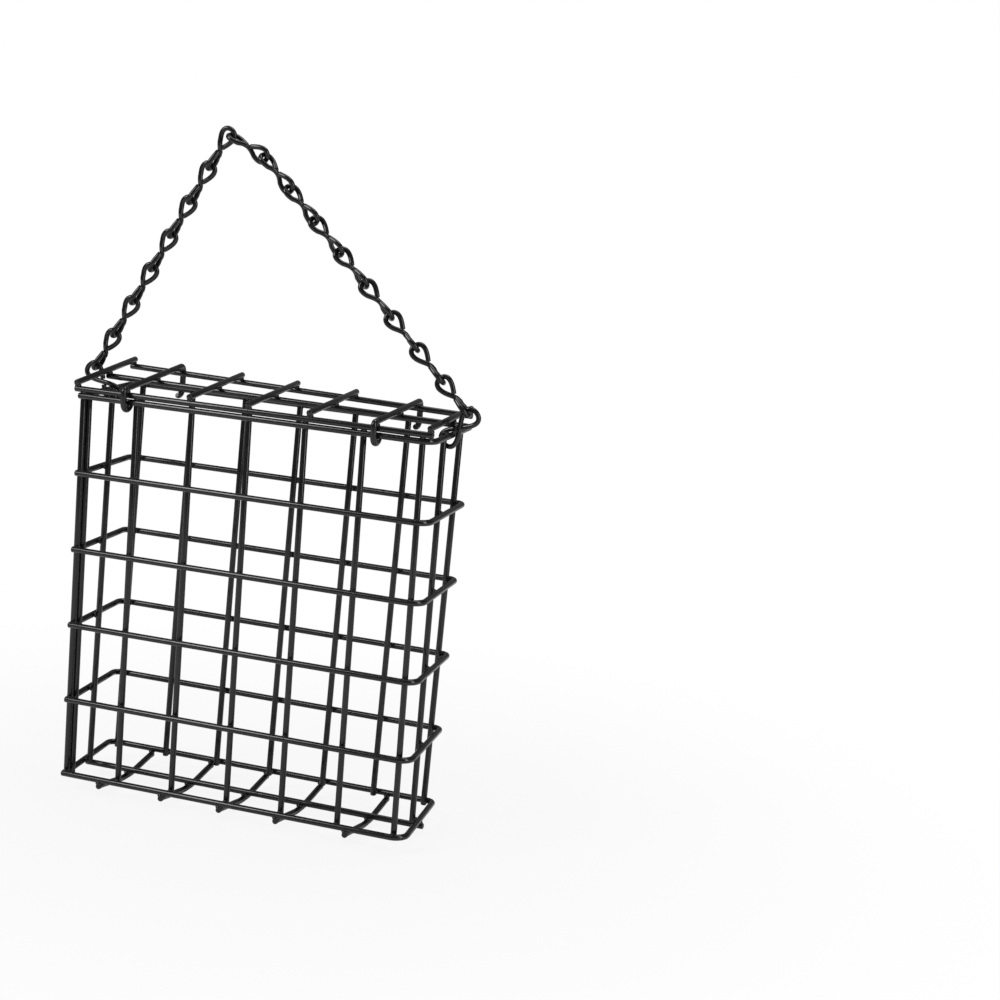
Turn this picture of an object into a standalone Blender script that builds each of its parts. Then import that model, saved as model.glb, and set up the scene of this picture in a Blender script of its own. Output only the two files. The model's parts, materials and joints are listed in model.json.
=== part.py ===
# Hanging suet feeder: a welded wire cage, a hinged wire lid and a jack chain
# Metres, +Z up. The width runs along X and the front is -Y

import math

import bpy
from mathutils import Quaternion, Vector

COLLECTION_NAME = "suet_feeder"

# Wires, and the gap that touching wires keep
WIRE = 0.002
CHAIN_WIRE = 0.0016
SEAT_GAP = 0.0003
CHAIN_GAP = 0.0003

# Cage, from wire centre to wire centre
HALF_WIDTH = 0.0643
DEPTH = 0.043
HEIGHT = 0.134
LOOP_COUNT = 6
FRONT_CORNER_RADIUS = 0.0045
BACK_CORNER_RADIUS = 0.0028
SEAM_OVERHANG = 0.0011
SEAM_STEP = 0.00105

# The back wall stands to the left of the front wall
BACK_SHIFT_TOP = -0.0028
BACK_SHIFT_BOTTOM = -0.006

# Uprights
FRONT_UPRIGHT_SHARES = (0.0, 0.164, 0.331, 0.501, 0.666, 0.834, 1.0)
FRONT_LEFT_REACH = 0.0005
BACK_UPRIGHT_SHARES = (0.0, 0.164, 0.334, 0.507, 0.680, 0.842, 1.0)
BACK_LEFT_INSET = 0.0014
LEFT_UPRIGHT_TOP_Y = -0.0021
LEFT_UPRIGHT_BOTTOM_Y = -0.0036
RIGHT_UPRIGHT_TOP_Y = -0.0021
RIGHT_UPRIGHT_BOTTOM_Y = -0.0006

# Floor: cross wires as shares of the front uprights' span, and one long wire over them
FLOOR_CROSS_SHARES = (0.114, 0.309, 0.488, 0.660, 0.866)
FLOOR_SKEW = -0.0024
FLOOR_FRONT_OVERHANG = 0.0005
FLOOR_BACK_OVERHANG = 0.0005
FLOOR_SEAT = 0.0015
FLOOR_DIP = 0.0035
FLOOR_RAIL_Y = 0.0012
FLOOR_RAIL_LEFT = 0.0012
FLOOR_RAIL_RIGHT = 0.0015

# Lid
LID_SIDE_REACH = 0.0003
LID_SHIFT = -0.00125
LID_SKEW = -0.0026
LID_LEFT_TILT_DEG = 4.9
LID_RIGHT_TILT_DEG = 1.9
LID_CROSS_SHARES = (0.0, 0.146, 0.330, 0.497, 0.670, 0.853, 1.0)
LID_HOOKED_WIRES = (2, 6)
LID_FRONT_OVERHANG = 0.0013
LID_BACK_OVERHANG = 0.0015
LID_RAIL_OVERHANG = 0.001
LID_MIDDLE_Y = 0.0024

# Hooks of the lid: hinge hooks round the back rim, sprung latch hooks round the front rim
HINGE_HOOK_RADIUS = 0.0024
HINGE_HOOK_BEND = 0.002
HINGE_HOOK_END_DEG = -115.0
LATCH_RADIUS = 0.0026
LATCH_BEND = 0.0012
LATCH_START_DEG = 180.0
LATCH_END_DEG = 370.0

# Chain: figure-eight links with their two loops at a right angle
LINK_PITCH = 0.0138
LINK_HALF_WIDTH = 0.0024
LEFT_LINKS = 7
RIGHT_LINKS = 9
RING_SHARE = 0.67
CUT_SHARE = 0.067
TWIST_SHARE = 0.4
APEX_LINK_DROOP_DEG = 25.0
APEX_RISE = 0.0006
RIGHT_ROLL_TOP_DEG = 80.0
RIGHT_ROLL_BOTTOM_DEG = 5.0

# Flat rim links that hold the chain to the rim's short sides
RIM_LINK_HALF_WIDTH = 0.0028
RIM_LINK_SEAT = 0.0035
LEFT_RIM_LINK_TILT_DEG = 47.0
RIGHT_RIM_LINK_TILT_DEG = 42.0

# Fineness of the curves
CAGE_SIDE_STEPS = 2
CHAIN_SIDE_STEPS = 1
CORNER_STEPS = 4
HOOK_STEPS = 6
LATCH_STEPS = 8
LOBE_STEPS = 9
FLAT_DOWN = math.pi / 8

# Coating of the wires
COAT_COLOUR = (0.02, 0.02, 0.021, 1.0)
CHAIN_COLOUR = (0.016, 0.016, 0.017, 1.0)
COAT_ROUGHNESS = 0.38
CHAIN_ROUGHNESS = 0.3
COAT_METALLIC = 0.0

# Places that follow from the sizes
STACK = WIRE + SEAT_GAP
CHAIN_STACK = CHAIN_WIRE + CHAIN_GAP
FRONT_Y = -DEPTH / 2
BACK_Y = DEPTH / 2
FRONT_CORNER_CLEAR = max(FRONT_CORNER_RADIUS, STACK)
BACK_CORNER_CLEAR = max(BACK_CORNER_RADIUS, STACK)
LID_HALF_WIDTH = HALF_WIDTH + LID_SIDE_REACH
BOTTOM_Z = 2 * STACK + WIRE / 2 * math.cos(FLAT_DOWN)
RIM_Z = BOTTOM_Z + HEIGHT
SEAM_UPRIGHT_Y = FRONT_Y + STACK + math.sqrt(STACK ** 2 - SEAM_STEP ** 2)
LINK_HALF = (LINK_PITCH + CHAIN_STACK) / 2
BACKWARDS = Vector((0.0, 1.0, 0.0))


def mix(first, last, share):
    return first + (last - first) * share


def wall_x(side, y, level):
    """X of a side wall's wire; side is -1 or 1, level runs from 0 at the floor to 1 at the rim."""
    back_shift = mix(BACK_SHIFT_BOTTOM, BACK_SHIFT_TOP, level)
    return side * HALF_WIDTH + back_shift * (y - FRONT_Y) / DEPTH


def rounded(points, radii, steps):
    """Run through the points with each inner corner replaced by an arc of its own radius."""
    run = [points[0]]
    for before, corner, after, radius in zip(points, points[1:], points[2:], radii):
        arrive = (corner - before).normalized()
        leave = (after - corner).normalized()
        turn = arrive.angle(leave)
        start = corner - arrive * (radius * math.tan(turn / 2))
        axis = arrive.cross(leave).normalized()
        centre = start + axis.cross(arrive) * radius
        for step in range(steps + 1):
            run.append(centre + Quaternion(axis, turn * step / steps) @ (start - centre))
    run.append(points[-1])
    return run


def arc(centre, radius, start_deg, end_deg, steps):
    """Arc in a plane of constant X, from +Y towards +Z."""
    run = []
    for step in range(steps + 1):
        angle = math.radians(mix(start_deg, end_deg, step / steps))
        run.append(centre + Vector((0.0, radius * math.cos(angle), radius * math.sin(angle))))
    return run


def coat(name, colour, roughness):
    material = bpy.data.materials.new(name + "_coat")
    material.use_nodes = True
    shader = material.node_tree.nodes["Principled BSDF"]
    shader.inputs["Base Color"].default_value = colour
    shader.inputs["Roughness"].default_value = roughness
    shader.inputs["Metallic"].default_value = COAT_METALLIC
    material.diffuse_color = colour
    return material


class Builder:
    """Makes wires in one collection and hangs them on the joints' empties."""

    def __init__(self):
        self.collection = bpy.data.collections.new(COLLECTION_NAME)
        bpy.context.scene.collection.children.link(self.collection)
        self.origin = self.empty("feeder_origin", Vector((0.0, 0.0, 0.0)), None)
        self.wires = []

    def empty(self, name, place, parent):
        made = bpy.data.objects.new(name, None)
        made.empty_display_size = DEPTH / 2
        made.location = place
        made.parent = parent
        self.collection.objects.link(made)
        return made

    def wire(self, name, points, parent, tilt=0.0, twist="MINIMUM", chain=False):
        curve = bpy.data.curves.new(name, "CURVE")
        curve.dimensions = "3D"
        curve.twist_mode = twist
        curve.bevel_depth = (CHAIN_WIRE if chain else WIRE) / 2
        curve.bevel_resolution = CHAIN_SIDE_STEPS if chain else CAGE_SIDE_STEPS
        curve.use_fill_caps = True
        spline = curve.splines.new("POLY")
        spline.points.add(len(points) - 1)
        for point, place in zip(spline.points, points):
            point.co = (*(place - parent.location), 1.0)
            point.tilt = tilt
        if chain:
            curve.materials.append(coat(name, CHAIN_COLOUR, CHAIN_ROUGHNESS))
        else:
            curve.materials.append(coat(name, COAT_COLOUR, COAT_ROUGHNESS))
        made = bpy.data.objects.new(name, curve)
        made.parent = parent
        self.collection.objects.link(made)
        self.wires.append(made)
        return made


# Cage

def loop_name(index):
    if index == 0:
        return "bottom_loop"
    if index == LOOP_COUNT - 1:
        return "rim_loop"
    return "loop_%d" % (index + 1)


def build_loops(builder, cage):
    """Level loops, each one wire whose two ends meet at the front left corner's two uprights."""
    for index in range(LOOP_COUNT):
        level = index / (LOOP_COUNT - 1)
        z = mix(BOTTOM_Z, RIM_Z, level)
        seam_y = SEAM_UPRIGHT_Y + WIRE / 2 + SEAT_GAP
        radii = [FRONT_CORNER_RADIUS, BACK_CORNER_RADIUS, BACK_CORNER_RADIUS]
        corners = [
            Vector((wall_x(-1, FRONT_Y, level) - SEAM_OVERHANG, FRONT_Y, z)),
            Vector((wall_x(1, FRONT_Y, level), FRONT_Y, z)),
            Vector((wall_x(1, BACK_Y, level), BACK_Y, z)),
            Vector((wall_x(-1, BACK_Y, level), BACK_Y, z)),
            Vector((wall_x(-1, seam_y, level), seam_y, z)),
        ]
        builder.wire(loop_name(index), rounded(corners, radii, CORNER_STEPS), cage)


def front_upright_x(share):
    return mix(-HALF_WIDTH - FRONT_LEFT_REACH, HALF_WIDTH - FRONT_CORNER_CLEAR, share)


def back_upright_x(share, level):
    left = wall_x(-1, BACK_Y, level) + BACK_CORNER_CLEAR + BACK_LEFT_INSET
    right = wall_x(1, BACK_Y, level) - BACK_CORNER_CLEAR
    return mix(left, right, share)


def build_uprights(builder, cage):
    """Uprights stand inside the loops, flush with the lowest and the highest of them."""
    low = BOTTOM_Z - WIRE / 2
    high = RIM_Z + WIRE / 2
    front_y = FRONT_Y + STACK
    back_y = BACK_Y - STACK
    for index, share in enumerate(FRONT_UPRIGHT_SHARES):
        x = front_upright_x(share)
        ends = [Vector((x, front_y, low)), Vector((x, front_y, high))]
        builder.wire("front_upright_%d" % (index + 1), ends, cage)
    for index, share in enumerate(BACK_UPRIGHT_SHARES):
        foot = Vector((back_upright_x(share, 0), back_y, low))
        head = Vector((back_upright_x(share, 1), back_y, high))
        builder.wire("back_upright_%d" % (index + 1), [foot, head], cage)
    side_ends = (
        ("left_upright", -1, LEFT_UPRIGHT_BOTTOM_Y, LEFT_UPRIGHT_TOP_Y),
        ("right_upright", 1, RIGHT_UPRIGHT_BOTTOM_Y, RIGHT_UPRIGHT_TOP_Y),
    )
    for name, side, foot_y, head_y in side_ends:
        foot = Vector((wall_x(side, foot_y, 0) - side * STACK, foot_y, low))
        head = Vector((wall_x(side, head_y, 1) - side * STACK, head_y, high))
        builder.wire(name, [foot, head], cage)
    seam_x = front_upright_x(0.0) + SEAM_STEP
    ends = [Vector((seam_x, SEAM_UPRIGHT_Y, low)), Vector((seam_x, SEAM_UPRIGHT_Y, high))]
    builder.wire("seam_upright", ends, cage)


def build_floor(builder, cage):
    """Skewed cross wires under the bottom loop dip below the long wire, which passes under the sides."""
    rail_z = BOTTOM_Z - STACK
    dip_z = rail_z - STACK
    for index, share in enumerate(FLOOR_CROSS_SHARES):
        front_x = front_upright_x(share)
        places = (
            (FRONT_Y - FLOOR_FRONT_OVERHANG, rail_z),
            (FRONT_Y + FLOOR_SEAT, rail_z),
            (FLOOR_RAIL_Y - FLOOR_DIP, dip_z),
            (FLOOR_RAIL_Y + FLOOR_DIP, dip_z),
            (BACK_Y - FLOOR_SEAT, rail_z),
            (BACK_Y + FLOOR_BACK_OVERHANG, rail_z),
        )
        points = [Vector((front_x + FLOOR_SKEW * (y - FRONT_Y) / DEPTH, y, z)) for y, z in places]
        name = "floor_cross_%d" % (index + 1)
        builder.wire(name, points, cage, tilt=FLAT_DOWN, twist="Z_UP")
    left = wall_x(-1, FLOOR_RAIL_Y, 0) - FLOOR_RAIL_LEFT
    right = wall_x(1, FLOOR_RAIL_Y, 0) + FLOOR_RAIL_RIGHT
    ends = [Vector((left, FLOOR_RAIL_Y, rail_z)), Vector((right, FLOOR_RAIL_Y, rail_z))]
    builder.wire("floor_rail", ends, cage)


# Lid

def lid_place(share, y):
    """Centre of a cross wire at y; the wires lie over the lid's long wires."""
    front_x = LID_SHIFT + mix(-LID_HALF_WIDTH, LID_HALF_WIDTH, share)
    x = front_x + LID_SKEW * (y - FRONT_Y) / DEPTH
    left_slope = math.tan(math.radians(LID_LEFT_TILT_DEG))
    right_slope = math.tan(math.radians(LID_RIGHT_TILT_DEG))
    z = RIM_Z + 2 * STACK + (y - FRONT_Y) * mix(left_slope, right_slope, share)
    return Vector((x, y, z))


def hooked_wire(share):
    """Cross wire that bends down at the back and closes round the back rim's wire."""
    corner = lid_place(share, BACK_Y + HINGE_HOOK_RADIUS)
    rim = Vector((corner.x, BACK_Y, RIM_Z))
    front = lid_place(share, FRONT_Y - WIRE / 2)
    hook = arc(rim, HINGE_HOOK_RADIUS, 0.0, HINGE_HOOK_END_DEG, HOOK_STEPS)
    return rounded([front, corner, hook[0]], [HINGE_HOOK_BEND], CORNER_STEPS) + hook[1:]


def latch_hook(share):
    """Front end of the same wire: down in front of the rim and back up behind it."""
    start = lid_place(share, FRONT_Y - WIRE / 2 - SEAT_GAP)
    corner = lid_place(share, FRONT_Y - LATCH_RADIUS)
    rim = Vector((corner.x, FRONT_Y, RIM_Z))
    hook = arc(rim, LATCH_RADIUS, LATCH_START_DEG, LATCH_END_DEG, LATCH_STEPS)
    return rounded([start, corner, hook[0]], [LATCH_BEND], CORNER_STEPS) + hook[1:]


def build_lid(builder, lid):
    """Three long wires, seven cross wires on top of them, and the hooks of two of these."""
    rails = (("front", FRONT_Y), ("middle", LID_MIDDLE_Y), ("back", BACK_Y))
    for name, y in rails:
        left = lid_place(0.0, y) - Vector((LID_RAIL_OVERHANG, 0.0, STACK))
        right = lid_place(1.0, y) + Vector((LID_RAIL_OVERHANG, 0.0, -STACK))
        builder.wire("lid_rail_" + name, [left, right], lid)
    for index, share in enumerate(LID_CROSS_SHARES):
        number = index + 1
        points = [lid_place(share, FRONT_Y - LID_FRONT_OVERHANG), lid_place(share, BACK_Y + LID_BACK_OVERHANG)]
        if number in LID_HOOKED_WIRES:
            points = hooked_wire(share)
        builder.wire("lid_cross_%d" % number, points, lid)
    for name, number in zip(("left", "right"), LID_HOOKED_WIRES):
        builder.wire("lid_latch_" + name, latch_hook(LID_CROSS_SHARES[number - 1]), lid)


# Chain

def link_points(centre, axis, roll_deg, half_width, flat):
    """Figure-eight wire: cut end, upper loop, crossing, lower loop, cut end."""
    spin = Quaternion(axis, math.radians(roll_deg))
    side = spin @ BACKWARDS.cross(axis)
    normal = spin @ BACKWARDS
    shares = [(1, mix(CUT_SHARE, 1.0, step / LOBE_STEPS)) for step in range(LOBE_STEPS + 1)]
    shares += [(-1, mix(0.0, 1.0 - CUT_SHARE, step / LOBE_STEPS)) for step in range(1, LOBE_STEPS + 1)]
    points = []
    for lobe, share in shares:
        along = lobe * LINK_HALF * math.sin(math.pi * share)
        across = half_width * math.sin(2 * math.pi * share)
        twist = along / (TWIST_SHARE * LINK_HALF)
        if (lobe > 0) == (share < 0.5):
            twist = lobe
        turn = 0.0 if flat else math.pi / 4 * (1.0 - max(-1.0, min(1.0, twist)))
        points.append(centre + axis * along + (side * math.cos(turn) + normal * math.sin(turn)) * across)
    return points


def upper_crossing(first, first_radius, second, second_radius):
    """Upper point where two circles in the chain's plane meet."""
    line = second - first
    span = line.length
    along = (span ** 2 + first_radius ** 2 - second_radius ** 2) / (2 * span)
    rise = math.sqrt(first_radius ** 2 - along ** 2)
    towards = line / span
    return first + towards * along + towards.cross(BACKWARDS) * rise


def chain_arm(ring, axis, count, rolls):
    """Middles of an arm's links, the lowest first, up from the rim link's ring."""
    first = RIM_LINK_HALF_WIDTH - CHAIN_STACK + LINK_HALF
    return [(ring + axis * (first + LINK_PITCH * step), axis, rolls[-1 - step]) for step in range(count)]


def build_chain(builder, cage):
    rings = {}
    rim_links = (("left", -1, LEFT_RIM_LINK_TILT_DEG), ("right", 1, RIGHT_RIM_LINK_TILT_DEG))
    for name, side, tilt in rim_links:
        lean = math.radians(tilt)
        axis = Vector((side * math.sin(lean), 0.0, math.cos(lean)))
        centre = Vector((wall_x(side, 0.0, 1), 0.0, RIM_Z)) + axis * RIM_LINK_SEAT
        points = link_points(centre, axis, 0.0, RIM_LINK_HALF_WIDTH, True)
        builder.wire("rim_link_" + name, points, cage, chain=True)
        rings[name] = centre + axis * (RING_SHARE * LINK_HALF)
    droop = math.radians(APEX_LINK_DROOP_DEG)
    apex_axis = Vector((-math.cos(droop), 0.0, math.sin(droop)))
    apex_rise = Vector((math.sin(droop), 0.0, math.cos(droop))) * APEX_RISE
    apex_step = apex_axis * (LINK_PITCH / 2 + LINK_HALF + LINK_HALF_WIDTH - CHAIN_STACK) - apex_rise
    seat = RIM_LINK_HALF_WIDTH - CHAIN_STACK
    left_length = seat + LINK_HALF + LINK_PITCH * (LEFT_LINKS - 1) + RING_SHARE * LINK_HALF
    right_length = seat + 2 * LINK_HALF + LINK_PITCH * (RIGHT_LINKS - 2) - CHAIN_STACK / 2
    apex = upper_crossing(rings["left"], left_length, rings["right"] + apex_step, right_length)
    left_axis = (apex - rings["left"]).normalized()
    right_axis = (apex - apex_step - rings["right"]).normalized()
    steps = range(RIGHT_LINKS)
    rolls = [mix(RIGHT_ROLL_TOP_DEG, RIGHT_ROLL_BOTTOM_DEG, step / (RIGHT_LINKS - 1)) for step in steps]
    left_links = chain_arm(rings["left"], left_axis, LEFT_LINKS, [0.0] * LEFT_LINKS)
    right_links = chain_arm(rings["right"], right_axis, RIGHT_LINKS - 1, rolls)
    knee = rings["right"] + right_axis * right_length
    right_links.append((knee + apex_axis * (LINK_PITCH / 2), apex_axis, rolls[0]))
    left_pivot = rings["left"] + left_axis * RIM_LINK_HALF_WIDTH
    right_pivot = rings["right"] + right_axis * RIM_LINK_HALF_WIDTH
    swing = builder.empty("chain_swing_axis", (left_pivot + right_pivot) / 2, builder.origin)
    for name, links in (("left", left_links), ("right", right_links)):
        for step, (centre, axis, roll) in enumerate(links):
            points = link_points(centre, axis, roll, LINK_HALF_WIDTH, False)
            builder.wire("chain_%s_%d" % (name, len(links) - step), points, swing, chain=True)
    return left_pivot, right_pivot


def centre_on_origin(builder):
    """Bring the middle of the model's footprint onto the origin."""
    bpy.context.view_layer.update()
    depsgraph = bpy.context.evaluated_depsgraph_get()
    corners = []
    for made in builder.wires:
        shown = made.evaluated_get(depsgraph)
        corners += [made.matrix_world @ vertex.co for vertex in shown.to_mesh().vertices]
        shown.to_mesh_clear()
    for axis in (0, 1):
        places = [corner[axis] for corner in corners]
        builder.origin.location[axis] -= (min(places) + max(places)) / 2
    builder.origin.location.z -= min(corner.z for corner in corners)
    bpy.context.view_layer.update()


def main():
    for thing in list(bpy.data.objects):
        bpy.data.objects.remove(thing)
    builder = Builder()
    cage = builder.empty("cage_frame", Vector((0.0, 0.0, 0.0)), builder.origin)
    lid = builder.empty("lid_hinge_axis", Vector((0.0, BACK_Y, RIM_Z)), builder.origin)
    build_loops(builder, cage)
    build_uprights(builder, cage)
    build_floor(builder, cage)
    build_lid(builder, lid)
    pivots = build_chain(builder, cage)
    centre_on_origin(builder)
    return builder, pivots


main()
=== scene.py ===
import json
import math

import bpy
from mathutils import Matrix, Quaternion, Vector


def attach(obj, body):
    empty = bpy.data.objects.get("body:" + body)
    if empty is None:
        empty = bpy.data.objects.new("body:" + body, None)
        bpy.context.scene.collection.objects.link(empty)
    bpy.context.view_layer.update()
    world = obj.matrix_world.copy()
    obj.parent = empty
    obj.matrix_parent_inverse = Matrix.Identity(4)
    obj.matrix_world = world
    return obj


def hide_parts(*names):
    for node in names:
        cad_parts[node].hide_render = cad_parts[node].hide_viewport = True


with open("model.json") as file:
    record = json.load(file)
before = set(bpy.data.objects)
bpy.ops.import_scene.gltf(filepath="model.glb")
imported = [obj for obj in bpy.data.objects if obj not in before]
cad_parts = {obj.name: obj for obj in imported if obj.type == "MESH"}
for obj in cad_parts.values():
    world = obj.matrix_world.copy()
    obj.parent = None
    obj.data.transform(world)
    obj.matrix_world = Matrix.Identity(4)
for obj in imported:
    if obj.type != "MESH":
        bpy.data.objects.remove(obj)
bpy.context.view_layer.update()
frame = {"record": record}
bpy.ops.object.select_all(action="DESELECT")

# Wire of the solids; all sizes are in metres
WIRE = 0.002
CHAIN_WIRE = 0.0016
SOLID_WIRE_SIDES = 8
SEAT_GAP = 0.0003
STACK = WIRE + SEAT_GAP
CHAIN_STACK = CHAIN_WIRE + SEAT_GAP

# The coat stands a little proud of the solids' flat-sided tubes
COATED_WIRE = 0.0021
COATED_CHAIN_WIRE = 0.00172
WIRE_SIDES = 20
CHAIN_WIRE_STEPS = 4
SHORTEST_RUN = 0.00001
BEND_STEP_DEG = 11
FEWEST_BEND_STEPS = 3

# Cut ends of the wires
MERGE_DISTANCE = 0.000002
END_RIM_DEG = 60
END_EASE_SHARE = 0.35
END_EASE_STEPS = 3
SMOOTH_DEG = 40

# Cage, between the centres of its wires
HALF_WIDTH = 0.0643
DEPTH = 0.043
HEIGHT = 0.134
FRONT_CORNER_RADIUS = 0.0045
BACK_CORNER_RADIUS = 0.0028
BACK_SHIFT_BOTTOM = -0.006
BACK_SHIFT_TOP = -0.0028
SEAM_OVERHANG = 0.0011
SEAM_STEP = 0.00105
LOOP_NODES = ("bottom_loop", "loop_2", "loop_3", "loop_4", "loop_5", "rim_loop")
FRONT_UPRIGHT_SHARES = (0.0, 0.164, 0.331, 0.501, 0.666, 0.834, 1.0)
FRONT_LEFT_REACH = 0.0005
BACK_UPRIGHT_SHARES = (0.0, 0.164, 0.334, 0.507, 0.680, 0.842, 1.0)
BACK_LEFT_INSET = 0.0014
LEFT_UPRIGHT_BOTTOM_Y = -0.0036
LEFT_UPRIGHT_TOP_Y = -0.0021
RIGHT_UPRIGHT_BOTTOM_Y = -0.0006
RIGHT_UPRIGHT_TOP_Y = -0.0021

# Floor wires of the cage
FLOOR_CROSS_SHARES = (0.114, 0.309, 0.488, 0.660, 0.866)
FLOOR_SKEW = -0.0024
FLOOR_OVERHANG = 0.0005
FLOOR_SEAT = 0.0015
FLOOR_SEAT_BEND = 0.008
FLOOR_DIP = 0.0035
FLOOR_DIP_BEND = 0.02
FLOOR_RAIL_Y = 0.0012
FLOOR_RAIL_LEFT = 0.0012
FLOOR_RAIL_RIGHT = 0.0015

# Lid
LID_SIDE_REACH = 0.0003
LID_SHIFT = -0.00125
LID_SKEW = -0.0026
LID_LEFT_TILT_DEG = 4.9
LID_RIGHT_TILT_DEG = 1.9
LID_CROSS_SHARES = (0.0, 0.146, 0.330, 0.497, 0.670, 0.853, 1.0)
LID_HOOKED_WIRES = {2: "left", 6: "right"}
LID_FRONT_OVERHANG = 0.0013
LID_BACK_OVERHANG = 0.0015
LID_RAIL_OVERHANG = 0.001
LID_MIDDLE_Y = 0.0024
HINGE_HOOK_RADIUS = 0.0024
HINGE_HOOK_BEND = 0.002
HINGE_HOOK_DEG = 115.0
LATCH_RADIUS = 0.0026
LATCH_BEND = 0.0012
LATCH_DEG = 190.0

# Chain
LINK_PITCH = 0.0138
LINK_HALF_WIDTH = 0.0024
LEFT_LINKS = 7
RIGHT_LINKS = 9
RING_SHARE = 0.67
CUT_SHARE = 0.032
TWIST_SHARE = 0.4
LOBE_STEPS = 22
APEX_LINK_DROOP_DEG = 25.0
APEX_RISE = 0.0006
RIGHT_ROLL_TOP_DEG = 80.0
RIGHT_ROLL_BOTTOM_DEG = 5.0
RIM_LINK_HALF_WIDTH = 0.0028
RIM_LINK_SEAT = 0.0035
LEFT_RIM_LINK_TILT_DEG = 47.0
RIGHT_RIM_LINK_TILT_DEG = 42.0

# Weld beads
BEAD_RADIUS = 0.00118
BEAD_SQUASH = 0.66
BEAD_UNEVENNESS = 0.00005
BEAD_SEED = 7
BEAD_SEGMENTS = 14
BEAD_RINGS = 8

# Stage, light and camera
FLOOR_RADIUS = 6.0
FLOOR_BELOW = 0.0002
SHADOW_NEAR = 0.05
SHADOW_FAR = 0.3
LAMP_AIM = Vector((0.0, 0.0, 0.1))
CAMERA_SENSOR_MM = 36.0
CAMERA_LENS_MM = 78.8
CAMERA_FROM_CAGE = Vector((0.309184, -0.673527, 0.248685))
CAMERA_PITCH_DEG = 79.70737
CAMERA_ROLL_DEG = -4.534845
CAMERA_TURN_DEG = 19.519582

# Places that follow from the sizes
FRONT_Y = -DEPTH / 2
BACK_Y = DEPTH / 2
SEAM_UPRIGHT_Y = FRONT_Y + STACK + math.sqrt(STACK ** 2 - SEAM_STEP ** 2)
BOTTOM_Z = 2 * STACK + WIRE / 2 * math.cos(math.pi / SOLID_WIRE_SIDES)
RIM_Z = BOTTOM_Z + HEIGHT
FLOOR_RAIL_Z = BOTTOM_Z - STACK
LID_HALF_WIDTH = HALF_WIDTH + LID_SIDE_REACH
LINK_HALF = (LINK_PITCH + CHAIN_STACK) / 2
BACKWARDS = Vector((0.0, 1.0, 0.0))
LEFTWARDS = Vector((-1.0, 0.0, 0.0))
RIGHTWARDS = Vector((1.0, 0.0, 0.0))

# The lid's hinge lies on the back rim's wire, which places the wire work in the frame
HINGE = Vector(frame["record"]["behaviour"]["joints"][0]["pos_m"])
CAGE_MIDDLE = HINGE - Vector((0.0, BACK_Y, RIM_Z))


# Finishes

def powder_coat(name, colour, dust, gloss, peel_size):
    """Black coat with fine orange peel, soft changes of gloss and a breath of dust in places."""
    material = bpy.data.materials.new(name)
    material.use_nodes = True
    nodes = material.node_tree.nodes
    links = material.node_tree.links
    coat = nodes["Principled BSDF"]
    coat.inputs["Metallic"].default_value = 0.0
    coat.inputs["IOR"].default_value = 1.5
    coat.inputs["Coat Weight"].default_value = 0.4
    coat.inputs["Coat Roughness"].default_value = 0.07
    spot = nodes.new("ShaderNodeTexCoord")

    peel = nodes.new("ShaderNodeTexNoise")
    peel.inputs["Scale"].default_value = 1 / peel_size
    peel.inputs["Detail"].default_value = 3.0
    links.new(spot.outputs["Object"], peel.inputs["Vector"])
    skin = nodes.new("ShaderNodeBump")
    skin.inputs["Strength"].default_value = 0.12
    skin.inputs["Distance"].default_value = 0.00006
    links.new(peel.outputs["Fac"], skin.inputs["Height"])
    links.new(skin.outputs["Normal"], coat.inputs["Normal"])

    flow = nodes.new("ShaderNodeTexNoise")
    flow.inputs["Scale"].default_value = 160.0
    flow.inputs["Detail"].default_value = 4.0
    links.new(spot.outputs["Object"], flow.inputs["Vector"])
    shine = nodes.new("ShaderNodeMapRange")
    shine.inputs["From Min"].default_value = 0.3
    shine.inputs["From Max"].default_value = 0.7
    shine.inputs["To Min"].default_value = gloss - 0.06
    shine.inputs["To Max"].default_value = gloss + 0.1
    links.new(flow.outputs["Fac"], shine.inputs["Value"])
    links.new(shine.outputs["Result"], coat.inputs["Roughness"])

    cloud = nodes.new("ShaderNodeTexNoise")
    cloud.inputs["Scale"].default_value = 420.0
    cloud.inputs["Detail"].default_value = 6.0
    links.new(spot.outputs["Object"], cloud.inputs["Vector"])
    tone = nodes.new("ShaderNodeValToRGB")
    tone.color_ramp.elements[0].position = 0.45
    tone.color_ramp.elements[0].color = colour
    tone.color_ramp.elements[1].position = 0.8
    tone.color_ramp.elements[1].color = dust
    links.new(cloud.outputs["Fac"], tone.inputs["Fac"])
    links.new(tone.outputs["Color"], coat.inputs["Base Color"])
    return material


cage_black = powder_coat(
    "cage_black",
    colour=(0.006, 0.006, 0.0063, 1.0),
    dust=(0.014, 0.014, 0.015, 1.0),
    gloss=0.19,
    peel_size=0.0007,
)
lid_black = powder_coat(
    "lid_black",
    colour=(0.006, 0.006, 0.0063, 1.0),
    dust=(0.014, 0.014, 0.015, 1.0),
    gloss=0.18,
    peel_size=0.0007,
)
chain_black = powder_coat(
    "chain_black",
    colour=(0.005, 0.005, 0.0053, 1.0),
    dust=(0.012, 0.012, 0.013, 1.0),
    gloss=0.16,
    peel_size=0.0005,
)
weld_black = powder_coat(
    "weld_black",
    colour=(0.006, 0.006, 0.0063, 1.0),
    dust=(0.018, 0.018, 0.019, 1.0),
    gloss=0.3,
    peel_size=0.0004,
)

FINISH = {
    "cage": ("cage_coat", cage_black),
    "lid": ("lid_coat", lid_black),
    "chain": ("chain_coat", chain_black),
}


def dress(piece, body, finish, node=None):
    """Give a piece its coat, its body and the node it stands for; welds stand for none."""
    slot_name, material = FINISH[finish]
    piece.data.materials.clear()
    piece.data.materials.append(weld_black if node is None else material)
    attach(piece, body)
    if node is not None:
        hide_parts(node)
    bpy.ops.object.select_all(action="DESELECT")


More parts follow.
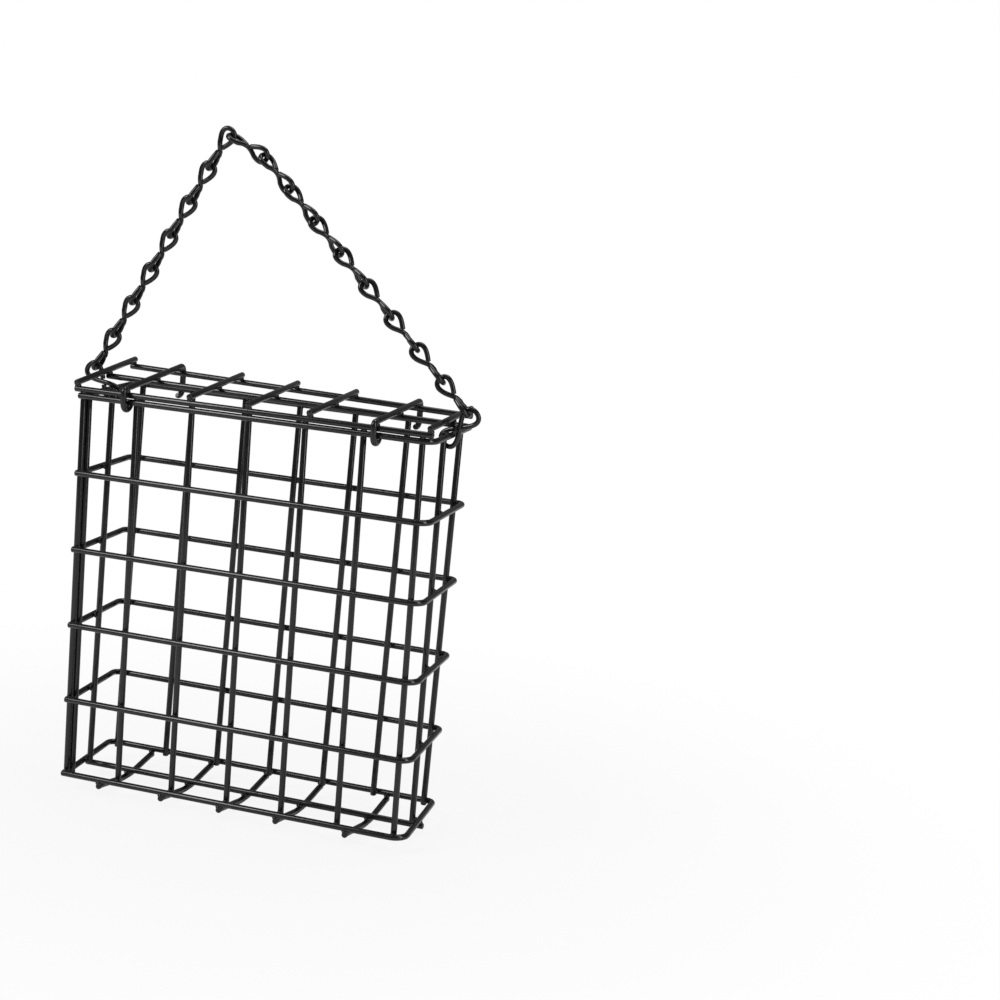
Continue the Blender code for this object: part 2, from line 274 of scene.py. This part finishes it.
# Wires drawn as a circle that is extruded along each run and spun round each bend

def start_wire(name, place, heading):
    """Circle across the wire's heading, left in edit mode."""
    turned = heading.to_track_quat("Z", "Y").to_euler()
    bpy.ops.mesh.primitive_circle_add(
        vertices=WIRE_SIDES,
        radius=COATED_WIRE / 2,
        enter_editmode=True,
        align="WORLD",
        location=place,
        rotation=turned,
    )
    bpy.context.object.name = name
    bpy.context.object.data.name = name


def run_on(step):
    """Carry the wire's open end straight on, unless there is no way to go."""
    if step.length > SHORTEST_RUN:
        bpy.ops.mesh.extrude_region_move(TRANSFORM_OT_translate={"value": step})


def bend_round(centre, axis, angle):
    """Carry the wire's open end round a centre, by an angle in radians."""
    steps = max(FEWEST_BEND_STEPS, round(math.degrees(angle) / BEND_STEP_DEG))
    bpy.ops.mesh.spin(steps=steps, angle=-angle, center=centre, axis=axis)


def cut_ends(radius):
    """Close both ends, ease their rims as the thick coat does and leave edit mode."""
    bpy.ops.mesh.select_all(action="SELECT")
    bpy.ops.mesh.remove_doubles(threshold=MERGE_DISTANCE)
    bpy.ops.mesh.fill_holes(sides=0)
    bpy.ops.mesh.normals_make_consistent(inside=False)
    bpy.ops.mesh.select_mode(type="EDGE")
    bpy.ops.mesh.select_all(action="DESELECT")
    bpy.ops.mesh.edges_select_sharp(sharpness=math.radians(END_RIM_DEG))
    bpy.ops.mesh.bevel(offset=radius * END_EASE_SHARE, segments=END_EASE_STEPS, affect="EDGES")
    bpy.ops.mesh.select_mode(type="VERT")
    bpy.ops.object.mode_set(mode="OBJECT")
    bpy.ops.object.transform_apply(location=True, rotation=True, scale=True)
    bpy.ops.object.shade_smooth_by_angle(angle=math.radians(SMOOTH_DEG))
    return bpy.context.object


def bent_wire(node, body, corners, bends=(), hook=None):
    """Wire through the corners, each rounded to its bend; a hook adds an arc round a centre."""
    corners = [CAGE_MIDDLE + corner for corner in corners]
    start_wire(node + "_wire", corners[0], (corners[1] - corners[0]).normalized())
    here = corners[0]
    for before, corner, after, bend in zip(corners, corners[1:], corners[2:], bends):
        arrive = (corner - before).normalized()
        leave = (after - corner).normalized()
        turn = arrive.angle(leave)
        axis = arrive.cross(leave).normalized()
        bend_start = corner - arrive * (bend * math.tan(turn / 2))
        centre = bend_start + axis.cross(arrive) * bend
        run_on(bend_start - here)
        bend_round(centre, axis, turn)
        here = centre + Quaternion(axis, turn) @ (bend_start - centre)
    run_on(corners[-1] - here)
    if hook is not None:
        centre, axis, degrees = hook
        bend_round(CAGE_MIDDLE + centre, axis, math.radians(degrees))
    dress(cut_ends(COATED_WIRE / 2), body, body, node)


# Places in the cage

def mix(first, last, share):
    return first + (last - first) * share


def backwards_share(y):
    """How far y lies from the front wall to the back wall, from 0 to 1."""
    return (y - FRONT_Y) / DEPTH


def wall_x(side, y, level):
    """X of a side wall's wire, which leans because the back wall stands to the left."""
    back_shift = mix(BACK_SHIFT_BOTTOM, BACK_SHIFT_TOP, level)
    return side * HALF_WIDTH + back_shift * backwards_share(y)


def loop_places():
    """Number, level from 0 to 1 and height of each loop, from the floor up."""
    for index in range(len(LOOP_NODES)):
        level = index / (len(LOOP_NODES) - 1)
        yield index + 1, level, mix(BOTTOM_Z, RIM_Z, level)


def front_x(share):
    return mix(-HALF_WIDTH - FRONT_LEFT_REACH, HALF_WIDTH - FRONT_CORNER_RADIUS, share)


def back_x(share, level):
    left = wall_x(-1, BACK_Y, level) + BACK_CORNER_RADIUS + BACK_LEFT_INSET
    right = wall_x(1, BACK_Y, level) - BACK_CORNER_RADIUS
    return mix(left, right, share)


def side_upright(side, bottom_y, top_y):
    """Foot and head of a side wall's upright, inside the loops."""
    return [(wall_x(side, y, level) - side * STACK, y) for level, y in enumerate((bottom_y, top_y))]


def upright_ends():
    """Foot and head of each upright as x and y, by its node."""
    ends = {}
    for number, share in enumerate(FRONT_UPRIGHT_SHARES, 1):
        ends["front_upright_%d" % number] = [(front_x(share), FRONT_Y + STACK)] * 2
    for number, share in enumerate(BACK_UPRIGHT_SHARES, 1):
        ends["back_upright_%d" % number] = [(back_x(share, level), BACK_Y - STACK) for level in (0, 1)]
    ends["left_upright"] = side_upright(-1, LEFT_UPRIGHT_BOTTOM_Y, LEFT_UPRIGHT_TOP_Y)
    ends["right_upright"] = side_upright(1, RIGHT_UPRIGHT_BOTTOM_Y, RIGHT_UPRIGHT_TOP_Y)
    ends["seam_upright"] = [(front_x(0.0) + SEAM_STEP, SEAM_UPRIGHT_Y)] * 2
    return ends


def floor_place(share, y, z):
    """Place on one of the floor's skewed cross wires."""
    return Vector((front_x(share) + FLOOR_SKEW * backwards_share(y), y, z))


# Cage

def build_loops():
    """Level loops, each bent from one wire that ends behind the seam upright."""
    bends = (FRONT_CORNER_RADIUS, BACK_CORNER_RADIUS, BACK_CORNER_RADIUS)
    seam_y = SEAM_UPRIGHT_Y + WIRE / 2 + SEAT_GAP
    for node, (_, level, z) in zip(LOOP_NODES, loop_places()):
        corners = [
            Vector((wall_x(-1, FRONT_Y, level) - SEAM_OVERHANG, FRONT_Y, z)),
            Vector((wall_x(1, FRONT_Y, level), FRONT_Y, z)),
            Vector((wall_x(1, BACK_Y, level), BACK_Y, z)),
            Vector((wall_x(-1, BACK_Y, level), BACK_Y, z)),
            Vector((wall_x(-1, seam_y, level), seam_y, z)),
        ]
        bent_wire(node, "cage", corners, bends)


def build_uprights():
    for node, (foot, head) in upright_ends().items():
        corners = [Vector((*foot, BOTTOM_Z - WIRE / 2)), Vector((*head, RIM_Z + WIRE / 2))]
        bent_wire(node, "cage", corners)


def build_floor_wires():
    """Cross wires under the bottom loop that dip below the long wire."""
    dip_z = FLOOR_RAIL_Z - STACK
    bends = (FLOOR_SEAT_BEND, FLOOR_DIP_BEND, FLOOR_DIP_BEND, FLOOR_SEAT_BEND)
    for number, share in enumerate(FLOOR_CROSS_SHARES, 1):
        corners = [
            floor_place(share, FRONT_Y - FLOOR_OVERHANG, FLOOR_RAIL_Z),
            floor_place(share, FRONT_Y + FLOOR_SEAT, FLOOR_RAIL_Z),
            floor_place(share, FLOOR_RAIL_Y - FLOOR_DIP, dip_z),
            floor_place(share, FLOOR_RAIL_Y + FLOOR_DIP, dip_z),
            floor_place(share, BACK_Y - FLOOR_SEAT, FLOOR_RAIL_Z),
            floor_place(share, BACK_Y + FLOOR_OVERHANG, FLOOR_RAIL_Z),
        ]
        bent_wire("floor_cross_%d" % number, "cage", corners, bends)
    left = wall_x(-1, FLOOR_RAIL_Y, 0) - FLOOR_RAIL_LEFT
    right = wall_x(1, FLOOR_RAIL_Y, 0) + FLOOR_RAIL_RIGHT
    bent_wire("floor_rail", "cage", [Vector((x, FLOOR_RAIL_Y, FLOOR_RAIL_Z)) for x in (left, right)])


# Lid

LID_RAILS = {"lid_rail_front": FRONT_Y, "lid_rail_middle": LID_MIDDLE_Y, "lid_rail_back": BACK_Y}


def lid_place(share, y, below=0.0):
    """Place on the lid's cross wires; the lid rises to the back, more at its left end."""
    across = mix(-LID_HALF_WIDTH, LID_HALF_WIDTH, share)
    x = LID_SHIFT + across + LID_SKEW * backwards_share(y)
    left_slope = math.tan(math.radians(LID_LEFT_TILT_DEG))
    right_slope = math.tan(math.radians(LID_RIGHT_TILT_DEG))
    slope = mix(left_slope, right_slope, share)
    return Vector((x, y, RIM_Z + 2 * STACK + (y - FRONT_Y) * slope - below))


def hook_places(share, rim_y, reach):
    """Corner above a hook, the foot of its leg, and the rim's centre that it goes round."""
    corner = lid_place(share, rim_y + reach)
    leg = Vector((corner.x, rim_y + reach, RIM_Z))
    rim = Vector((corner.x, rim_y, RIM_Z))
    return corner, leg, rim


def build_hooked_wire(node, share):
    """Cross wire whose back end goes round the back rim as a hinge."""
    corner, leg, rim = hook_places(share, BACK_Y, HINGE_HOOK_RADIUS)
    start = lid_place(share, FRONT_Y - WIRE / 2)
    hook = (rim, LEFTWARDS, HINGE_HOOK_DEG)
    bent_wire(node, "lid", [start, corner, leg], (HINGE_HOOK_BEND,), hook)


def build_latch(node, share):
    """Hook that clips under the front rim."""
    corner, leg, rim = hook_places(share, FRONT_Y, -LATCH_RADIUS)
    start = lid_place(share, FRONT_Y - WIRE / 2 - SEAT_GAP)
    hook = (rim, RIGHTWARDS, LATCH_DEG)
    bent_wire(node, "lid", [start, corner, leg], (LATCH_BEND,), hook)


def build_lid():
    """Three long wires and, on top of them, seven cross wires, two of them with hooks."""
    overhang = Vector((LID_RAIL_OVERHANG, 0.0, 0.0))
    for node, y in LID_RAILS.items():
        corners = [lid_place(0.0, y, STACK) - overhang, lid_place(1.0, y, STACK) + overhang]
        bent_wire(node, "lid", corners)
    for number, share in enumerate(LID_CROSS_SHARES, 1):
        node = "lid_cross_%d" % number
        if number in LID_HOOKED_WIRES:
            build_hooked_wire(node, share)
            build_latch("lid_latch_" + LID_HOOKED_WIRES[number], share)
        else:
            front = lid_place(share, FRONT_Y - LID_FRONT_OVERHANG)
            back = lid_place(share, BACK_Y + LID_BACK_OVERHANG)
            bent_wire(node, "lid", [front, back])


# Chain: each link is a curve in the shape of an eight, made a mesh, with its two ends cut

def eight(centre, axis, roll_deg, half_width, flat=False):
    """Places along a link, from one cut end at the crossing to the other.

    Unless the link is flat, its lower lobe is turned by a quarter round the axis, and the
    strand that runs through the crossing turns on its way from lobe to lobe.
    """
    spin = Quaternion(axis, math.radians(roll_deg))
    side = spin @ BACKWARDS.cross(axis)
    normal = spin @ BACKWARDS
    shares = [(1, mix(CUT_SHARE, 1.0, step / LOBE_STEPS)) for step in range(LOBE_STEPS + 1)]
    shares += [(-1, mix(0.0, 1.0 - CUT_SHARE, step / LOBE_STEPS)) for step in range(1, LOBE_STEPS + 1)]
    places = []
    for lobe, share in shares:
        along = lobe * LINK_HALF * math.sin(math.pi * share)
        across = half_width * math.sin(2 * math.pi * share)
        twist = along / (TWIST_SHARE * LINK_HALF)
        if (lobe > 0) == (share < 0.5):
            twist = lobe
        turn = 0.0 if flat else math.pi / 4 * (1.0 - max(-1.0, min(1.0, twist)))
        out = side * math.cos(turn) + normal * math.sin(turn)
        places.append(CAGE_MIDDLE + centre + axis * along + out * across)
    return places


def bent_link(node, body, places):
    """Link of coated chain wire through the places, made a mesh with eased ends."""
    curve = bpy.data.curves.new(node + "_wire", "CURVE")
    curve.dimensions = "3D"
    curve.bevel_depth = COATED_CHAIN_WIRE / 2
    curve.bevel_resolution = CHAIN_WIRE_STEPS
    curve.use_fill_caps = True
    spline = curve.splines.new("POLY")
    spline.points.add(len(places) - 1)
    for point, place in zip(spline.points, places):
        point.co = (*place, 1.0)
    link = bpy.data.objects.new(node + "_wire", curve)
    bpy.context.scene.collection.objects.link(link)
    bpy.context.view_layer.objects.active = link
    link.select_set(True)
    bpy.ops.object.convert(target="MESH")
    bpy.ops.object.mode_set(mode="EDIT")
    dress(cut_ends(COATED_CHAIN_WIRE / 2), body, "chain", node)


def build_rim_link(name, side, tilt_deg):
    """Flat link closed round a short side of the rim; returns the centre of its upper ring."""
    lean = math.radians(tilt_deg)
    axis = Vector((side * math.sin(lean), 0.0, math.cos(lean)))
    centre = Vector((wall_x(side, 0.0, 1), 0.0, RIM_Z)) + axis * RIM_LINK_SEAT
    places = eight(centre, axis, 0.0, RIM_LINK_HALF_WIDTH, flat=True)
    bent_link("rim_link_" + name, "cage", places)
    return centre + axis * (RING_SHARE * LINK_HALF)


def build_chain():
    """Two straight arms that meet where both lengths reach, with the right one's top link laid over."""
    left_ring = build_rim_link("left", -1, LEFT_RIM_LINK_TILT_DEG)
    right_ring = build_rim_link("right", 1, RIGHT_RIM_LINK_TILT_DEG)
    droop = math.radians(APEX_LINK_DROOP_DEG)
    apex_axis = Vector((-math.cos(droop), 0.0, math.sin(droop)))
    apex_rise = Vector((math.sin(droop), 0.0, math.cos(droop))) * APEX_RISE
    apex_reach = LINK_PITCH / 2 + LINK_HALF + LINK_HALF_WIDTH - CHAIN_STACK
    apex_step = apex_axis * apex_reach - apex_rise

    seat = RIM_LINK_HALF_WIDTH - CHAIN_STACK
    first = seat + LINK_HALF
    left_length = first + LINK_PITCH * (LEFT_LINKS - 1) + RING_SHARE * LINK_HALF
    right_length = first + LINK_HALF + LINK_PITCH * (RIGHT_LINKS - 2) - CHAIN_STACK / 2
    line = right_ring + apex_step - left_ring
    span = line.length
    along = (span ** 2 + left_length ** 2 - right_length ** 2) / (2 * span)
    rise = math.sqrt(left_length ** 2 - along ** 2)
    towards = line / span
    apex = left_ring + towards * along + towards.cross(BACKWARDS) * rise
    left_axis = (apex - left_ring).normalized()
    right_axis = (apex - apex_step - right_ring).normalized()

    for number in range(LEFT_LINKS, 0, -1):
        centre = left_ring + left_axis * (first + LINK_PITCH * (LEFT_LINKS - number))
        bent_link("chain_left_%d" % number, "chain", eight(centre, left_axis, 0.0, LINK_HALF_WIDTH))
    for number in range(RIGHT_LINKS, 1, -1):
        centre = right_ring + right_axis * (first + LINK_PITCH * (RIGHT_LINKS - number))
        share = (number - 1) / (RIGHT_LINKS - 1)
        roll = mix(RIGHT_ROLL_TOP_DEG, RIGHT_ROLL_BOTTOM_DEG, share)
        bent_link("chain_right_%d" % number, "chain", eight(centre, right_axis, roll, LINK_HALF_WIDTH))
    centre = right_ring + right_axis * right_length + apex_axis * (LINK_PITCH / 2)
    places = eight(centre, apex_axis, RIGHT_ROLL_TOP_DEG, LINK_HALF_WIDTH)
    bent_link("chain_right_1", "chain", places)


# Welds: one small bead, squashed between its two wires and repeated at each crossing

def weld_beads(name, body, places, flat_axis):
    """The first bead is shaped, and each next one is a copy moved to its crossing."""
    places = [CAGE_MIDDLE + place for place in places]
    bpy.ops.mesh.primitive_uv_sphere_add(
        segments=BEAD_SEGMENTS,
        ring_count=BEAD_RINGS,
        radius=BEAD_RADIUS,
        enter_editmode=True,
        location=places[0],
    )
    bpy.context.object.name = name
    bpy.context.object.data.name = name
    squash = [1.0, 1.0, 1.0]
    squash[flat_axis] = BEAD_SQUASH
    bpy.ops.transform.resize(value=squash)
    bpy.ops.transform.vertex_random(offset=BEAD_UNEVENNESS, seed=BEAD_SEED)
    for before, place in zip(places, places[1:]):
        bpy.ops.mesh.duplicate_move(TRANSFORM_OT_translate={"value": place - before})
    bpy.ops.object.mode_set(mode="OBJECT")
    bpy.ops.object.transform_apply(location=True, rotation=True, scale=True)
    bpy.ops.object.shade_smooth()
    dress(bpy.context.object, body, body)


def side_welds(level, z):
    """Crossings of one loop with the side walls' uprights and the seam upright."""
    uprights = upright_ends()
    welds = []
    for node, outwards in (("left_upright", -1), ("right_upright", 1)):
        foot, head = uprights[node]
        x = mix(foot[0], head[0], level) + outwards * STACK / 2
        welds.append(Vector((x, mix(foot[1], head[1], level), z)))
    seam_x = front_x(0.0) + SEAM_STEP / 2
    welds.append(Vector((seam_x, SEAM_UPRIGHT_Y - STACK / 2, z)))
    welds.append(Vector((seam_x, SEAM_UPRIGHT_Y + STACK / 2, z)))
    return welds


def weld_cage():
    """Beads of the walls for each loop, and those of the floor."""
    for number, level, z in loop_places():
        fronts = [Vector((front_x(share), FRONT_Y + STACK / 2, z)) for share in FRONT_UPRIGHT_SHARES]
        backs = [Vector((back_x(share, level), BACK_Y - STACK / 2, z)) for share in BACK_UPRIGHT_SHARES]
        weld_beads("welds_walls_%d" % number, "cage", fronts + backs, 1)
        weld_beads("welds_sides_%d" % number, "cage", side_welds(level, z), 0)
    under_loop = BOTTOM_Z - STACK / 2
    under_rail = FLOOR_RAIL_Z - STACK / 2
    welds = [floor_place(share, y, under_loop) for share in FLOOR_CROSS_SHARES for y in (FRONT_Y, BACK_Y)]
    welds += [floor_place(share, FLOOR_RAIL_Y, under_rail) for share in FLOOR_CROSS_SHARES]
    welds += [Vector((wall_x(side, FLOOR_RAIL_Y, 0), FLOOR_RAIL_Y, under_loop)) for side in (-1, 1)]
    weld_beads("welds_floor", "cage", welds, 2)


def weld_lid():
    welds = [lid_place(share, y, STACK / 2) for share in LID_CROSS_SHARES for y in LID_RAILS.values()]
    weld_beads("welds_lid", "lid", welds, 2)


build_loops()
build_uprights()
build_floor_wires()
build_lid()
build_chain()
weld_cage()
weld_lid()


# Floor, backdrop and light

def pale_floor():
    """Pale floor that keeps the shadow near the feeder and runs out to white."""
    bpy.ops.mesh.primitive_circle_add(
        vertices=96,
        radius=FLOOR_RADIUS,
        fill_type="NGON",
        location=(0.0, 0.0, -FLOOR_BELOW),
    )
    floor = bpy.context.object
    floor.name = "floor"
    material = bpy.data.materials.new("pale_floor")
    material.use_nodes = True
    nodes = material.node_tree.nodes
    links = material.node_tree.links
    nodes.clear()
    out = nodes.new("ShaderNodeOutputMaterial")
    matt = nodes.new("ShaderNodeBsdfDiffuse")
    matt.inputs["Color"].default_value = (0.88, 0.88, 0.88, 1.0)
    white = nodes.new("ShaderNodeEmission")
    white.inputs["Color"].default_value = (1.0, 1.0, 1.0, 1.0)
    place = nodes.new("ShaderNodeTexCoord")
    far = nodes.new("ShaderNodeVectorMath")
    far.operation = "LENGTH"
    links.new(place.outputs["Object"], far.inputs[0])
    fade = nodes.new("ShaderNodeMapRange")
    fade.interpolation_type = "SMOOTHSTEP"
    fade.inputs["From Min"].default_value = SHADOW_NEAR
    fade.inputs["From Max"].default_value = SHADOW_FAR
    fade.inputs["To Min"].default_value = 0.88
    fade.inputs["To Max"].default_value = 1.0
    links.new(far.outputs["Value"], fade.inputs["Value"])
    seen = nodes.new("ShaderNodeLightPath")
    both = nodes.new("ShaderNodeMath")
    both.operation = "MULTIPLY"
    links.new(fade.outputs["Result"], both.inputs[0])
    links.new(seen.outputs["Is Camera Ray"], both.inputs[1])
    blend = nodes.new("ShaderNodeMixShader")
    links.new(both.outputs[0], blend.inputs[0])
    links.new(matt.outputs[0], blend.inputs[1])
    links.new(white.outputs[0], blend.inputs[2])
    links.new(blend.outputs[0], out.inputs["Surface"])
    floor.data.materials.append(material)
    bpy.ops.object.select_all(action="DESELECT")


def soft_world():
    """White for the camera, and a plain soft grey light on the feeder."""
    world = bpy.data.worlds.new("studio")
    bpy.context.scene.world = world
    world.use_nodes = True
    nodes = world.node_tree.nodes
    links = world.node_tree.links
    nodes.clear()
    out = nodes.new("ShaderNodeOutputWorld")
    lit = nodes.new("ShaderNodeBackground")
    lit.inputs["Color"].default_value = (1.0, 1.0, 1.0, 1.0)
    lit.inputs["Strength"].default_value = 0.13
    shown = nodes.new("ShaderNodeBackground")
    shown.inputs["Color"].default_value = (1.0, 1.0, 1.0, 1.0)
    shown.inputs["Strength"].default_value = 1.0
    seen = nodes.new("ShaderNodeLightPath")
    blend = nodes.new("ShaderNodeMixShader")
    links.new(seen.outputs["Is Camera Ray"], blend.inputs[0])
    links.new(lit.outputs[0], blend.inputs[1])
    links.new(shown.outputs[0], blend.inputs[2])
    links.new(blend.outputs[0], out.inputs["Surface"])


def soft_box(name, place, size, power):
    """Rectangular lamp at a place, turned to the feeder."""
    data = bpy.data.lights.new(name, "AREA")
    data.shape = "RECTANGLE"
    data.size, data.size_y = size
    data.energy = power
    lamp = bpy.data.objects.new(name, data)
    lamp.location = place
    lamp.rotation_euler = (LAMP_AIM - Vector(place)).to_track_quat("-Z", "Y").to_euler()
    bpy.context.scene.collection.objects.link(lamp)


pale_floor()
soft_world()
soft_box("key_box", place=(-0.7, -0.7, 0.9), size=(0.5, 0.7), power=6.5)
soft_box("side_box", place=(1.0, -0.3, 0.5), size=(0.3, 0.9), power=3.2)
soft_box("top_box", place=(0.1, 0.3, 1.3), size=(0.9, 0.5), power=4.2)
bpy.context.scene.view_settings.view_transform = "Standard"


# Camera at the photograph's place

def photo_camera():
    data = bpy.data.cameras.new("photo_camera")
    data.sensor_width = CAMERA_SENSOR_MM
    data.lens = CAMERA_LENS_MM
    data.clip_start = 0.01
    data.clip_end = 50.0
    camera = bpy.data.objects.new("photo_camera", data)
    camera.location = CAGE_MIDDLE + CAMERA_FROM_CAGE
    angles = (CAMERA_PITCH_DEG, CAMERA_ROLL_DEG, CAMERA_TURN_DEG)
    camera.rotation_euler = [math.radians(angle) for angle in angles]
    bpy.context.scene.collection.objects.link(camera)
    bpy.context.scene.camera = camera


photo_camera()
